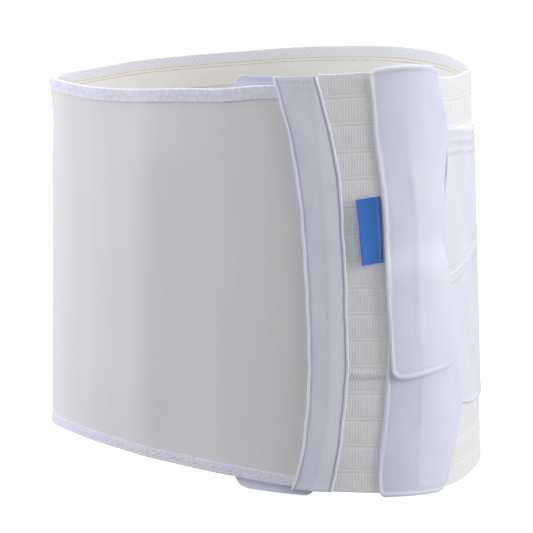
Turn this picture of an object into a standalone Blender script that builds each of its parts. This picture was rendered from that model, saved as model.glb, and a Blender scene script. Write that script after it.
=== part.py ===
# Ostomy support belt, closed at its fastening and standing upright as an oval tube.
# Metres, +Z up. The abdomen panel faces -Y and the fastening is at the front right.
import bisect
import math

import bmesh
import bpy

# The closed tube
HALF_WIDTH = 0.1590
HALF_DEPTH = 0.1060
BAND_HEIGHT = 0.260
LEAN_OUT = 0.0095
CLOSURE_TURN = 318.0

# Elastic band
BAND_WALL = 0.0020
BAND_START = 0.0070
BAND_COLUMN = 0.0135
RIB_PITCH = 0.0166
RIB_MARGIN = 0.0135
RIB_DEPTH = 0.0006

# Abdomen panel and its two bindings
PANEL_REACH = 0.272
PANEL_WALL = 0.0020
PANEL_RISE = 0.0068
PANEL_DROP = 0.0112
PANEL_LAP = 0.010
PANEL_COLUMN = 0.0115
PANEL_ROW = 0.0300
BINDING_WIDTH = 0.0090
BINDING_WALL = 0.0008
CORNER_FLARE = 0.0030
FLARE_LENGTH = 0.0270
FLARE_HEIGHT = 0.0300

# Closing strip and the tab behind it
STRIP_WIDTH = 0.0250
STRIP_WALL = 0.0014
STRIP_RISE = 0.0040
STRIP_DROP = 0.0010
STRIP_TILT = 0.0010
STRIP_ROW = 0.0160
STRIP_BEAD = 0.0006
BEAD_WIDTH = 0.0016
PANEL_TUCK = 0.0015
TAB_WIDTH = 0.0580
TAB_WALL = 0.0018
TAB_DROP = 0.0005
TAB_COLUMN = 0.0100
TAB_ROW = 0.0330

# Two flaps with hook ends
FLAP_WALL = 0.0018
HEM_WIDTH = 0.0035
HEM_RAISE = 0.0006
RIDGE_RAISE = 0.0004
RIDGE_WIDTH = 0.0048
UPPER_FLAP_START = 0.0240
UPPER_FLAP_WIDTH = 0.0550
UPPER_FLAP_OVER = 0.0060
UPPER_FLAP_RISE = 0.0770
LOWER_FLAP_START = 0.0290
LOWER_FLAP_WIDTH = 0.0640
LOWER_FLAP_HEIGHT = 0.1340
LOWER_FLAP_RISE = 0.0012
FLAP_CORNER = 0.0045
FLAP_RAMP = 0.0200
FLAP_COLUMN = 0.0080
FLAP_ROW = 0.0160

# Two straps that leave the flaps and run round the side
STRAP_WALL = 0.0014
STRAP_REACH = 0.260
STRAP_DROP = 0.0330
LOWER_STRAP_BOTTOM = 0.0520
STRAP_MEETING = 0.1370
STRAP_COLUMN = 0.0085
STRAP_ROW = 0.0120

# Sewn-in tag
LABEL_WIDTH = 0.0152
LABEL_HEIGHT = 0.0400
LABEL_RISE = 0.1460
LABEL_WALL = 0.0005
LABEL_LIFT = 0.0022
LABEL_TILT = 0.0020
LABEL_COLUMN = 0.0031
LABEL_ROW = 0.0082

# Clearance between two layers that touch, and between two edges sewn side by side
GAP = 0.0003
SEAM_GAP = 0.0008

# Places within a flap, as shares: a hem's crest of its width, the ridge of the flap's width
HEM_CREST = 0.8
RIDGE_PLACE = 0.5

# Heights that follow the band's
PANEL_HEIGHT = BAND_HEIGHT - PANEL_RISE - PANEL_DROP
STRIP_HEIGHT = BAND_HEIGHT - STRIP_RISE - STRIP_DROP
TAB_HEIGHT = BAND_HEIGHT - TAB_DROP
UPPER_FLAP_HEIGHT = BAND_HEIGHT + UPPER_FLAP_OVER - UPPER_FLAP_RISE
UPPER_STRAP_TOP = BAND_HEIGHT - STRAP_DROP

# Plan of the tube at half its height, seen from above, turning left from +X
OVAL = (
    # turn (degrees), reach (share of the true oval), lean (share of LEAN_OUT)
    (0.0, 0.935, 1.21),
    (22.5, 0.911, 1.38),
    (45.0, 0.982, 1.48),
    (67.5, 1.021, 1.52),
    (90.0, 1.028, 1.47),
    (112.5, 1.019, 1.36),
    (135.0, 1.009, 1.19),
    (157.5, 1.013, 0.99),
    (180.0, 1.042, 0.79),
    (202.5, 1.101, 0.62),
    (225.0, 1.042, 0.52),
    (247.5, 0.989, 0.48),
    (270.0, 0.990, 0.53),
    (292.5, 1.036, 0.64),
    (315.0, 1.081, 0.81),
    (337.5, 1.077, 1.01),
)

# Edges of the band round the tube
BAND_EDGES = (
    # way (share of the way round), bottom and top (shares of BAND_HEIGHT)
    (-0.02, 0.012, 1.004),
    (0.00, 0.012, 1.004),
    (0.03, 0.012, 1.010),
    (0.08, 0.010, 0.996),
    (0.11, 0.008, 0.993),
    (0.14, 0.008, 0.998),
    (0.17, 0.010, 1.000),
    (0.20, 0.006, 1.010),
    (0.25, 0.000, 1.023),
    (0.30, 0.000, 1.034),
    (0.34, 0.000, 1.037),
    (0.38, 0.000, 1.034),
    (0.43, 0.000, 1.027),
    (0.48, 0.000, 1.014),
    (0.53, 0.000, 1.001),
    (0.57, 0.002, 0.990),
    (0.62, 0.006, 0.972),
    (0.70, 0.014, 0.956),
)

# Edges of the panel from its far end to the closing strip
PANEL_EDGES = (
    # way (share of the panel's length), bottom and top shifts (shares of PANEL_HEIGHT)
    (0.00, -0.010, -0.005),
    (0.12, -0.006, -0.003),
    (0.23, 0.000, -0.007),
    (0.30, 0.000, -0.011),
    (0.38, 0.000, -0.011),
    (0.50, 0.000, -0.007),
    (0.64, 0.000, 0.001),
    (0.75, 0.000, 0.005),
    (0.86, -0.003, 0.017),
    (1.00, -0.005, 0.023),
)

# Bow of the closing strip
STRIP_SIDES = (
    # height (share of STRIP_HEIGHT), bow and width (shares of STRIP_WIDTH)
    (0.00, -0.42, 1.00),
    (0.06, -0.26, 0.96),
    (0.15, -0.12, 0.94),
    (0.32, -0.02, 0.99),
    (0.50, -0.06, 1.00),
    (0.65, -0.15, 1.04),
    (0.77, -0.27, 1.08),
    (0.87, -0.47, 1.10),
    (0.93, -0.63, 1.12),
    (1.00, -0.84, 1.12),
)

# Upright sides of the upper flap
UPPER_FLAP_SIDES = (
    # height (share of UPPER_FLAP_HEIGHT), left and right (shares of UPPER_FLAP_WIDTH)
    (0.00, 0.236, 1.000),
    (0.13, 0.215, 0.990),
    (0.29, 0.180, 0.960),
    (0.43, 0.170, 0.890),
    (0.56, 0.150, 0.910),
    (0.70, 0.090, 0.955),
    (0.79, 0.055, 1.010),
    (0.84, 0.045, 0.955),
    (0.90, 0.035, 0.900),
    (0.95, 0.020, 0.850),
    (1.00, 0.000, 0.820),
)

# Top and bottom edges of the upper flap
UPPER_FLAP_ENDS = (
    # way (share of the flap's width there), bottom and top shifts (shares of UPPER_FLAP_HEIGHT)
    (0.00, 0.000, -0.012),
    (0.20, -0.006, -0.002),
    (0.55, 0.006, 0.006),
    (1.00, 0.022, 0.000),
)

# Upright sides of the lower flap
LOWER_FLAP_SIDES = (
    # height (share of LOWER_FLAP_HEIGHT), left and right (shares of LOWER_FLAP_WIDTH)
    (0.00, 0.010, 0.680),
    (0.07, 0.000, 0.745),
    (0.12, 0.000, 0.780),
    (0.21, 0.010, 0.860),
    (0.29, 0.030, 0.940),
    (0.37, 0.050, 1.000),
    (0.58, 0.080, 0.925),
    (0.77, 0.100, 0.860),
    (0.91, 0.110, 0.815),
    (1.00, 0.110, 0.800),
)

# Slanted line where the two straps meet, and their outer edges
STRAP_LINES = (
    # way (share of STRAP_REACH), lower edge, meeting line and upper edge (shares of BAND_HEIGHT)
    (0.30, 0.000, 0.000, 0.002),
    (0.36, 0.000, 0.013, 0.000),
    (0.42, -0.012, 0.027, -0.006),
    (0.48, -0.018, 0.043, -0.010),
    (0.60, -0.020, 0.058, -0.012),
    (1.00, -0.020, 0.062, -0.012),
)

# Rounded corner as drop against distance from the corner
CORNER = (
    # distance and drop (shares of the corner's radius)
    (0.00, 0.70),
    (0.35, 0.22),
    (1.00, 0.00),
)


def row_slope(table, row, column):
    """Slope of a column at a row, level where the column turns back."""
    before = table[max(row - 1, 0)]
    here = table[row]
    after = table[min(row + 1, len(table) - 1)]
    inside = before is not here and after is not here
    if inside and (here[column] - before[column]) * (after[column] - here[column]) <= 0:
        return 0.0
    return (after[column] - before[column]) / (after[0] - before[0])


def read_table(table, where, column):
    """Value of a column at a place in the first one, on a smooth curve through the rows."""
    if where <= table[0][0]:
        return table[0][column]
    if where >= table[-1][0]:
        return table[-1][column]
    row = bisect.bisect_right([line[0] for line in table], where) - 1
    start = table[row]
    span = table[row + 1][0] - start[0]
    rise = table[row + 1][column] - start[column]
    leave = row_slope(table, row, column) * span
    arrive = row_slope(table, row + 1, column) * span
    t = (where - start[0]) / span
    return start[column] + t * (
        leave + t * (3 * rise - 2 * leave - arrive + t * (leave + arrive - 2 * rise))
    )


def blend(start, end, share):
    return start + (end - start) * share


def steps(start, end, longest):
    """Evenly spaced values from start to end, no further apart than longest."""
    count = max(1, math.ceil((end - start) / longest))
    return [blend(start, end, step / count) for step in range(count + 1)]


FULL_TURN = 360.0
CLOSED_OVAL = (
    tuple((turn - FULL_TURN, reach, lean) for turn, reach, lean in OVAL[-2:])
    + OVAL
    + tuple((turn + FULL_TURN, reach, lean) for turn, reach, lean in OVAL[:3])
)


def plan_radius(turn):
    """Radius of the tube at half its height, in a direction in degrees."""
    angle = math.radians(turn)
    across = math.cos(angle) / HALF_WIDTH
    along = math.sin(angle) / HALF_DEPTH
    return read_table(CLOSED_OVAL, turn % FULL_TURN, 1) / math.hypot(across, along)


def plan_point(turn):
    angle = math.radians(turn)
    radius = plan_radius(turn)
    return radius * math.cos(angle), radius * math.sin(angle)


# Length along the plan, measured from the middle of the closing strip
PLAN_TURNS = [CLOSURE_TURN + step for step in range(int(FULL_TURN) + 1)]
PLAN_LENGTHS = [0.0]
for earlier, later in zip(PLAN_TURNS, PLAN_TURNS[1:]):
    step_length = math.dist(plan_point(earlier), plan_point(later))
    PLAN_LENGTHS.append(PLAN_LENGTHS[-1] + step_length)
ROUND = PLAN_LENGTHS[-1]
BAND_END = ROUND - PANEL_REACH + PANEL_LAP


def turn_at(station):
    station = station % ROUND
    row = min(bisect.bisect_right(PLAN_LENGTHS, station), len(PLAN_LENGTHS) - 1) - 1
    share = (station - PLAN_LENGTHS[row]) / (PLAN_LENGTHS[row + 1] - PLAN_LENGTHS[row])
    return blend(PLAN_TURNS[row], PLAN_TURNS[row + 1], share)


def wall_point(station, height, outward):
    """Point on the tube at a distance round it, a height, and a distance out from its wall."""
    turn = turn_at(station)
    angle = math.radians(turn)
    lean = read_table(CLOSED_OVAL, turn % FULL_TURN, 2) * LEAN_OUT
    radius = plan_radius(turn) + lean * (0.5 - height / BAND_HEIGHT)
    back = plan_point(turn - 1)
    ahead = plan_point(turn + 1)
    run = math.dist(back, ahead)
    x = radius * math.cos(angle) + outward * (ahead[1] - back[1]) / run
    y = radius * math.sin(angle) - outward * (ahead[0] - back[0]) / run
    return x, y, height


def make_material(name, colour, roughness):
    material = bpy.data.materials.new(name)
    material.use_nodes = True
    shader = material.node_tree.nodes["Principled BSDF"]
    shader.inputs["Base Color"].default_value = (*colour, 1.0)
    shader.inputs["Roughness"].default_value = roughness
    shader.inputs["Metallic"].default_value = 0.0
    return material


def sew(name, columns, rows, place, material):
    """One piece of cloth: a flat slab of columns and rows, wrapped to where place puts it.

    place takes a column, a row and a skin, which is 1 outside and 0 inside.
    """
    mesh = bpy.data.meshes.new(name)
    slab = bmesh.new()
    across = len(columns) - 1
    up = len(rows) - 1
    bmesh.ops.create_grid(slab, x_segments=across, y_segments=up, size=0.5)
    bmesh.ops.solidify(slab, geom=slab.faces[:], thickness=1.0)
    bmesh.ops.recalc_face_normals(slab, faces=slab.faces)
    lowest = min(point.co.z for point in slab.verts)
    for point in slab.verts:
        column = columns[round((point.co.x + 0.5) * across)]
        row = rows[round((point.co.y + 0.5) * up)]
        skin = round(point.co.z - lowest)
        point.co = place(column, row, skin)
    slab.to_mesh(mesh)
    slab.free()
    mesh.shade_smooth()
    mesh.set_sharp_from_angle(angle=math.radians(40))
    mesh.materials.append(material)
    piece = bpy.data.objects.new(name, mesh)
    BELT.objects.link(piece)
    return piece


def corner_drop(distance):
    """How far a rounded corner cuts back the edge at a distance from the corner."""
    return FLAP_CORNER * read_table(CORNER, distance / FLAP_CORNER, 1)


def hem_raise(distance):
    """Height of a turned hem at a distance from the cloth's edge."""
    return HEM_RAISE if distance < HEM_WIDTH * (1 + HEM_CREST) / 2 else 0.0


# Elastic band
def band_edge(station, column):
    return BAND_HEIGHT * read_table(BAND_EDGES, station / ROUND, column)


def rib_rows():
    """Heights of the ribs and of the middle of each bay, as shares of the band's height."""
    count = int((BAND_HEIGHT - 2 * RIB_MARGIN) / RIB_PITCH) + 1
    lowest = (BAND_HEIGHT - (count - 1) * RIB_PITCH) / 2
    rows = [(0.0, 0.0)]
    for rib in range(count):
        height = lowest + rib * RIB_PITCH
        rows.append((height / BAND_HEIGHT, RIB_DEPTH))
        if rib < count - 1:
            rows.append(((height + RIB_PITCH / 2) / BAND_HEIGHT, 0.0))
    rows.append((1.0, 0.0))
    return rows


def make_elastic_band():
    def place(station, row, skin):
        share, dip = row
        height = blend(band_edge(station, 1), band_edge(station, 2), share)
        return wall_point(station, height, (skin - 1) * BAND_WALL - dip)

    columns = steps(-BAND_START, BAND_END, BAND_COLUMN)
    colour = make_material("cream ribbed elastic", (0.78, 0.76, 0.72), 0.85)
    sew("elastic_band", columns, rib_rows(), place, colour)


# Abdomen panel
def strip_edge(share, side):
    """Station of the closing strip's left (-1) or right (1) side at a share of its height."""
    bow = read_table(STRIP_SIDES, share, 1)
    width = read_table(STRIP_SIDES, share, 2)
    return STRIP_WIDTH * (bow + side * width / 2)


def panel_edge(way, column):
    level = PANEL_RISE if column == 1 else PANEL_RISE + PANEL_HEIGHT
    return level + PANEL_HEIGHT * read_table(PANEL_EDGES, way, column)


PANEL_INNER = GAP
PANEL_OUTER = PANEL_INNER + PANEL_WALL


def corner_flare(way, share):
    """How far the panel's far top corner turns outward, at shares of its length and height."""
    along = 1 - way * PANEL_REACH / FLARE_LENGTH
    down = 1 - (1 - share) * PANEL_HEIGHT / FLARE_HEIGHT
    return CORNER_FLARE * max(0.0, along) ** 2 * max(0.0, down)


def make_front_panel():
    def place(way, share, skin):
        right = strip_edge(share, 1) - PANEL_TUCK
        station = blend(-PANEL_REACH, right, way)
        height = blend(panel_edge(way, 1), panel_edge(way, 2), share)
        outward = blend(PANEL_INNER, PANEL_OUTER, skin) + corner_flare(way, share)
        return wall_point(station, height, outward)

    columns = steps(0, 1, PANEL_COLUMN / PANEL_REACH)
    rows = steps(0, 1, PANEL_ROW / PANEL_HEIGHT)
    colour = make_material("cream smooth knit", (0.72, 0.70, 0.67), 0.80)
    sew("front_panel", columns, rows, place, colour)


def make_binding(name, column, upward):
    """A tape folded over one edge of the panel, from the lap to the closing strip."""
    edge_share = (upward + 1) / 2
    right = strip_edge(edge_share, -1) - GAP
    panel_right = strip_edge(edge_share, 1) - PANEL_TUCK
    left = -PANEL_REACH + PANEL_LAP + GAP
    inner_face = PANEL_INNER - GAP
    outer_face = PANEL_OUTER + GAP
    section = (
        # inner skin and outer skin, each as outward and past the edge
        ((outer_face, -BINDING_WIDTH), (outer_face + BINDING_WALL, -BINDING_WIDTH)),
        ((outer_face, GAP), (outer_face + BINDING_WALL, GAP + BINDING_WALL)),
        ((inner_face, GAP), (inner_face - BINDING_WALL, GAP + BINDING_WALL)),
        ((inner_face, -BINDING_WIDTH), (inner_face - BINDING_WALL, -BINDING_WIDTH)),
    )

    if upward < 0:
        section = section[::-1]

    def place(station, row, skin):
        way = (station + PANEL_REACH) / (panel_right + PANEL_REACH)
        outward, past = row[skin]
        height = panel_edge(way, column) + upward * past
        share = edge_share + upward * min(past, 0) / PANEL_HEIGHT
        return wall_point(station, height, outward + corner_flare(way, share))

    colour = make_material(name + " tape", (0.70, 0.70, 0.80), 0.70)
    sew(name, steps(left, right, PANEL_COLUMN), section, place, colour)


# Closing strip
STRIP_OUTER = PANEL_OUTER + GAP + STRIP_WALL


def make_closing_strip():
    bead = BEAD_WIDTH / STRIP_WIDTH

    def place(column, share, skin):
        across, raised = column
        station = blend(strip_edge(share, -1), strip_edge(share, 1), across)
        height = STRIP_RISE + (STRIP_HEIGHT + STRIP_TILT * across) * share
        outward = STRIP_OUTER + raised * STRIP_BEAD if skin else STRIP_OUTER - STRIP_WALL
        return wall_point(station, height, outward)

    columns = (
        # across (share of the strip's width there), raised (share of STRIP_BEAD)
        (0.0, 0.4),
        (bead * 0.5, 1.0),
        (bead, 0.0),
        (0.5, 0.0),
        (1 - bead, 0.0),
        (1 - bead * 0.5, 1.0),
        (1.0, 0.4),
    )
    colour = make_material("white velour", (0.72, 0.74, 0.82), 0.90)
    sew("closing_strip", columns, steps(0, 1, STRIP_ROW / STRIP_HEIGHT), place, colour)


# Tab behind the panel
TAB_OUTER = PANEL_INNER - GAP - BINDING_WALL - GAP


def make_inner_tab():
    right = -BAND_START - GAP
    left = right - TAB_WIDTH

    def place(station, share, skin):
        drop = corner_drop(station - left)
        height = blend(drop, TAB_HEIGHT - drop, share)
        return wall_point(station, height, TAB_OUTER + (skin - 1) * TAB_WALL)

    corner = [left + FLAP_CORNER * distance for distance, drop in CORNER]
    columns = corner[:-1] + steps(corner[-1], right, TAB_COLUMN)
    colour = make_material("white soft tab", (0.72, 0.74, 0.82), 0.85)
    sew("inner_tab", columns, steps(0, 1, TAB_ROW / TAB_HEIGHT), place, colour)


# Flaps
FLAP_INNER = GAP
LOWER_FLAP_OUTER = FLAP_INNER + FLAP_WALL
UPPER_FLAP_OUTER = LOWER_FLAP_OUTER + HEM_RAISE + 2 * GAP + FLAP_WALL
LOWER_FLAP_TOP = LOWER_FLAP_RISE + LOWER_FLAP_HEIGHT


def upper_flap_side(height, column):
    share = (height - UPPER_FLAP_RISE) / UPPER_FLAP_HEIGHT
    return UPPER_FLAP_START + UPPER_FLAP_WIDTH * read_table(UPPER_FLAP_SIDES, share, column)


def lower_flap_side(height, column):
    share = (height - LOWER_FLAP_RISE) / LOWER_FLAP_HEIGHT
    return LOWER_FLAP_START + LOWER_FLAP_WIDTH * read_table(LOWER_FLAP_SIDES, share, column)


def flap_columns(width):
    """Columns across a flap: its hem, its ridge and the plain cloth between."""
    hem = HEM_WIDTH / width
    slope = RIDGE_WIDTH / width / 2
    left = steps(hem, RIDGE_PLACE - slope, FLAP_COLUMN / width)
    right = steps(RIDGE_PLACE + slope, 1, FLAP_COLUMN / width)
    return [0.0, hem * HEM_CREST] + left + [RIDGE_PLACE] + right


def flap_rows(height, hem_at_top):
    """Rows up a flap: the hem at its foot, the plain cloth, and a hem at the top where it has one."""
    hem = HEM_WIDTH / height
    foot = [0.0, hem * HEM_CREST]
    if hem_at_top:
        return foot + steps(hem, 1 - hem, FLAP_ROW / height) + [1 - hem * HEM_CREST, 1.0]
    return foot + steps(hem, 1, FLAP_ROW / height)


def ridge_raise(across):
    """Height of the upright ridge that runs down the middle of a flap."""
    return RIDGE_RAISE if across == RIDGE_PLACE else 0.0


def upper_flap_ramp(height):
    """1 where the upper flap rides over the lower one, falling to 0 where it lies on the band."""
    share = (height - LOWER_FLAP_TOP - HEM_WIDTH) / FLAP_RAMP
    share = min(max(share, 0.0), 1.0)
    return 1 - share * share * (3 - 2 * share)


def make_upper_flap():
    def place(across, share, skin):
        low = read_table(UPPER_FLAP_ENDS, across, 1) * UPPER_FLAP_HEIGHT
        high = (1 + read_table(UPPER_FLAP_ENDS, across, 2)) * UPPER_FLAP_HEIGHT
        from_left = across * UPPER_FLAP_WIDTH
        from_right = (1 - across) * UPPER_FLAP_WIDTH
        low += corner_drop(from_left)
        high -= corner_drop(min(from_left, from_right))
        height = UPPER_FLAP_RISE + blend(low, high, share)
        station = blend(upper_flap_side(height, 1), upper_flap_side(height, 2), across)
        ramp = upper_flap_ramp(height)
        outer = blend(LOWER_FLAP_OUTER, UPPER_FLAP_OUTER, ramp)
        if not skin:
            return wall_point(station, height, outer - FLAP_WALL)
        edge = min(from_left, share * UPPER_FLAP_HEIGHT, (1 - share) * UPPER_FLAP_HEIGHT)
        raised = hem_raise(edge) + ridge_raise(across)
        return wall_point(station, height, outer + raised)

    columns = flap_columns(UPPER_FLAP_WIDTH)
    rows = flap_rows(UPPER_FLAP_HEIGHT, True)
    colour = make_material("white upper flap cloth", (0.74, 0.75, 0.84), 0.85)
    sew("upper_flap", columns, rows, place, colour)


def make_lower_flap():
    def place(across, share, skin):
        from_left = across * LOWER_FLAP_WIDTH
        from_right = (1 - across) * LOWER_FLAP_WIDTH
        low = corner_drop(min(from_left, from_right))
        height = LOWER_FLAP_RISE + blend(low, LOWER_FLAP_HEIGHT, share)
        station = blend(lower_flap_side(height, 1), lower_flap_side(height, 2), across)
        if not skin:
            return wall_point(station, height, FLAP_INNER)
        edge = min(from_left, share * LOWER_FLAP_HEIGHT)
        raised = hem_raise(edge) + ridge_raise(across)
        return wall_point(station, height, LOWER_FLAP_OUTER + raised)

    columns = flap_columns(LOWER_FLAP_WIDTH)
    rows = flap_rows(LOWER_FLAP_HEIGHT, False)
    colour = make_material("white lower flap cloth", (0.74, 0.75, 0.84), 0.85)
    sew("lower_flap", columns, rows, place, colour)


# Straps
def strap_line(station, column):
    levels = (0.0, LOWER_STRAP_BOTTOM, STRAP_MEETING, UPPER_STRAP_TOP)
    shift = read_table(STRAP_LINES, station / STRAP_REACH, column)
    return levels[column] + shift * BAND_HEIGHT


def make_strap(name, low_column, flap_side, material):
    """A strap from the side of its flap, between two of the strap lines."""
    clear = GAP if low_column == 2 else -GAP

    def edges(station):
        low = strap_line(station, low_column)
        high = strap_line(station, low_column + 1)
        return (low + clear, high) if low_column == 2 else (low, high + clear)

    def place(way, share, skin):
        first_low, first_high = edges(flap_side(strap_line(0.0, 2), 2))
        start = flap_side(blend(first_low, first_high, share), 2) + SEAM_GAP
        station = blend(start, STRAP_REACH, way)
        low, high = edges(station)
        height = blend(low, high, share)
        return wall_point(station, height, FLAP_INNER + skin * STRAP_WALL)

    rise = strap_line(0.0, low_column + 1) - strap_line(0.0, low_column)
    columns = steps(0, 1, STRAP_COLUMN / STRAP_REACH)
    sew(name, columns, steps(0, 1, STRAP_ROW / rise), place, material)


# Tag
def make_label():
    def place(across, share, skin):
        height = LABEL_RISE + (LABEL_HEIGHT + LABEL_TILT * across) * share
        right = upper_flap_side(height, 1) - SEAM_GAP
        station = right - LABEL_WIDTH * (1 - across)
        lift = LABEL_LIFT * (1 - across) ** 2
        return wall_point(station, height, FLAP_INNER + lift + skin * LABEL_WALL)

    colour = make_material("blue woven tag", (0.03, 0.12, 0.45), 0.50)
    columns = steps(0, 1, LABEL_COLUMN / LABEL_WIDTH)
    sew("label", columns, steps(0, 1, LABEL_ROW / LABEL_HEIGHT), place, colour)


def centre_belt():
    """Moves every piece so that the belt's box is centred on the origin and stands on z = 0."""
    points = [point.co for piece in BELT.objects for point in piece.data.vertices]
    low = [min(point[axis] for point in points) for axis in range(3)]
    high = [max(point[axis] for point in points) for axis in range(3)]
    shift = ((low[0] + high[0]) / 2, (low[1] + high[1]) / 2, low[2])
    for piece in BELT.objects:
        for point in piece.data.vertices:
            point.co = [point.co[axis] - shift[axis] for axis in range(3)]


for old in list(bpy.data.objects):
    bpy.data.objects.remove(old)
BELT = bpy.data.collections.new("ostomy_support_belt")
bpy.context.scene.collection.children.link(BELT)

make_elastic_band()
make_front_panel()
make_binding("panel_top_binding", 2, 1)
make_binding("panel_bottom_binding", 1, -1)
make_closing_strip()
make_inner_tab()
make_upper_flap()
make_lower_flap()
strap_cloth = make_material("white strap cloth", (0.76, 0.77, 0.85), 0.85)
make_strap("upper_strap", 2, upper_flap_side, strap_cloth)
make_strap("lower_strap", 1, lower_flap_side, strap_cloth)
make_label()
centre_belt()
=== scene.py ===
import math

import bmesh
import bpy
import numpy as np
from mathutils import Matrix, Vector


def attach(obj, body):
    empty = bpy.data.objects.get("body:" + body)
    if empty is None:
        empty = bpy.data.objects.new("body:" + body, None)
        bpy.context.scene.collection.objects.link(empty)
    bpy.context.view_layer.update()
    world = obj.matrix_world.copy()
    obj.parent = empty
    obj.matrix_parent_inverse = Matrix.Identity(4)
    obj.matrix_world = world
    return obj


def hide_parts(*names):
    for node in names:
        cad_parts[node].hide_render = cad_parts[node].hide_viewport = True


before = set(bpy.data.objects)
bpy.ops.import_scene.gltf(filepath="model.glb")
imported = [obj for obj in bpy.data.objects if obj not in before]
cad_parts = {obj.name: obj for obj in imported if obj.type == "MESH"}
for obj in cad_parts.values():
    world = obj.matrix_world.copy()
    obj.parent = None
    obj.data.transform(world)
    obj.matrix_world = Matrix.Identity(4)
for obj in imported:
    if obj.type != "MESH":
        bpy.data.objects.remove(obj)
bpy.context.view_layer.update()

mm = 0.001
body = "root"  # the belt is cloth all over, so the row has one body
print("frame loaded:", len(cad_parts), "plain solids")


def deselectAll():
    bpy.ops.object.select_all(action="DESELECT")


# Cloth pieces follow the plain solids of the frame

def awayFromMiddle(point):
    return Vector((point.x, point.y, 0)).normalized()


def distances(line):
    # how far along a line of points each one lies
    return np.concatenate([[0], np.cumsum(np.linalg.norm(np.diff(line, axis=0), axis=1))])


def shares(line):
    # the same from 0 to 1
    run = distances(line)
    return run / run[-1]


def innerSkin(nodeName):
    # the faces of a plain solid that look at the torso
    sharpAngle = math.radians(62)
    mesh = bmesh.new()
    mesh.from_mesh(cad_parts[nodeName].data)
    bmesh.ops.remove_doubles(mesh, verts=mesh.verts, dist=0.01 * mm)
    mesh.normal_update()
    sharp = [edge for edge in mesh.edges if edge.calc_face_angle(0) > sharpAngle]
    bmesh.ops.split_edges(mesh, edges=sharp)
    skins = []
    waiting = set(mesh.faces)
    while waiting:
        skin, front = set(), [waiting.pop()]
        while front:
            face = front.pop()
            skin.add(face)
            for edge in face.edges:
                for other in edge.link_faces:
                    if other in waiting:
                        waiting.discard(other)
                        front.append(other)
        facing = sum(
            face.calc_area() * face.normal.dot(awayFromMiddle(face.calc_center_median())) for face in skin
        )
        skins.append((facing, skin))
    inner = min(skins, key=lambda pair: pair[0])[1]
    bmesh.ops.delete(mesh, geom=[face for face in mesh.faces if face not in inner], context="FACES")
    return mesh


def borderSides(mesh):
    # the border of a skin with four corners, as its bottom, right, top and left lines of points
    border = [next(point for point in mesh.verts if point.is_boundary)]
    while len(border) < 2 or border[-1] is not border[0]:
        ahead = [edge.other_vert(border[-1]) for edge in border[-1].link_edges if edge.is_boundary]
        border.append(ahead[0] if len(border) < 2 or ahead[0] is not border[-2] else ahead[1])
    border.pop()
    around, both = len(border), len(border) // 2 + 2
    bends = []
    for place, point in enumerate(border):
        before = (point.co - border[place - 1].co).normalized()
        after = (border[(place + 1) % around].co - point.co).normalized()
        bends.append(1 - before.dot(after))
    fewer = next(count for count in range(2, both) if count * (both - count) >= len(mesh.verts))
    columns, start = max(
        ((columns, start) for columns in (fewer, both - fewer) for start in range(around)),
        key=lambda pair: sum(
            bends[(pair[1] + step) % around] for step in (0, pair[0] - 1, both - 2, both + pair[0] - 3)
        ),
    )
    rim = np.array([border[(start + step) % around].co for step in range(around)], float)
    left = np.roll(rim[::-1], 1, axis=0)[:both - columns]
    return rim[:columns], rim[columns - 1:both - 1], rim[both - 2:both + columns - 2][::-1], left


def moveToSkin(points, own):
    # draws each place of a rough grid to its own point of the skin. Flat stretches lose a point
    # now and then, and such a place goes with its neighbours
    tries, nearShare, stray = 3, 0.6, 1.2 * mm
    moves = np.zeros_like(points)
    inside = [(row, column) for row in range(1, len(points) - 1) for column in range(1, len(points[0]) - 1)]
    for _ in range(tries):
        found = np.full(points.shape, np.nan)
        found[[0, -1]] = found[:, [0, -1]] = 0
        for row, column in inside:
            here = points[row, column] + moves[row, column]
            near = own[np.argmin(np.linalg.norm(own - here, axis=1))]
            reach = min(
                np.linalg.norm(points[row, column + 1] - points[row, column]),
                np.linalg.norm(points[row + 1, column] - points[row, column]),
            )
            if np.linalg.norm(near - here) < nearShare * reach:
                found[row, column] = near - points[row, column]
        for row, column in inside:
            beside = found[row - 1:row + 2, column - 1:column + 2].reshape(-1, 3)
            if np.linalg.norm(found[row, column] - np.nanmedian(beside, axis=0)) > stray:
                found[row, column] = np.nan
        for row, column in np.argwhere(np.isnan(found[:, :, 0])):
            found[row, column] = np.nanmean(found[row - 1:row + 2, column - 1:column + 2], axis=(0, 1))
        moves = found
    return points + moves


def skinRows(nodeName):
    # the inner skin of a plain solid, as rows of points from the lower left, seen from outside
    leastStep = 1.2 * mm
    mesh = innerSkin(nodeName)
    bottom, right, top, left = borderSides(mesh)
    own = np.array([point.co for point in mesh.verts], float)
    mesh.free()
    u, v = ((shares(one) + shares(other)) / 2 for one, other in ((bottom, top), (left, right)))
    u, v = u[None, :, None], v[:, None, None]
    points = (
        (1 - v) * bottom[None] + v * top[None] + (1 - u) * left[:, None] + u * right[:, None]
        - (1 - u) * (1 - v) * bottom[0] - u * (1 - v) * bottom[-1] - (1 - u) * v * top[0] - u * v * top[-1]
    )
    points = moveToSkin(points, own)
    if abs(points[-1, 0, 2] - points[0, 0, 2]) < abs(points[0, -1, 2] - points[0, 0, 2]):
        points = points.swapaxes(0, 1)
    if points[-1, 0, 2] < points[0, 0, 2]:
        points = points[::-1]
    middle = points[len(points) // 2]
    run, rise = middle[1] - middle[0], points[-1][0] - points[0][0]
    if np.cross(run, rise) @ np.array([*middle[0][:2], 0.0]) < 0:
        points = points[:, ::-1]
    for axis in (0, 1):
        # the steps of the plain hems are left out, since the cloth gets its own
        spots = runs(points, axis).mean(axis=1 - axis)
        kept = [0]
        for place in range(1, len(spots)):
            if spots[place] - spots[kept[-1]] > leastStep:
                kept.append(place)
        kept[-1] = len(spots) - 1
        points = np.take(points, kept, axis=axis)
    return points


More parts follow.
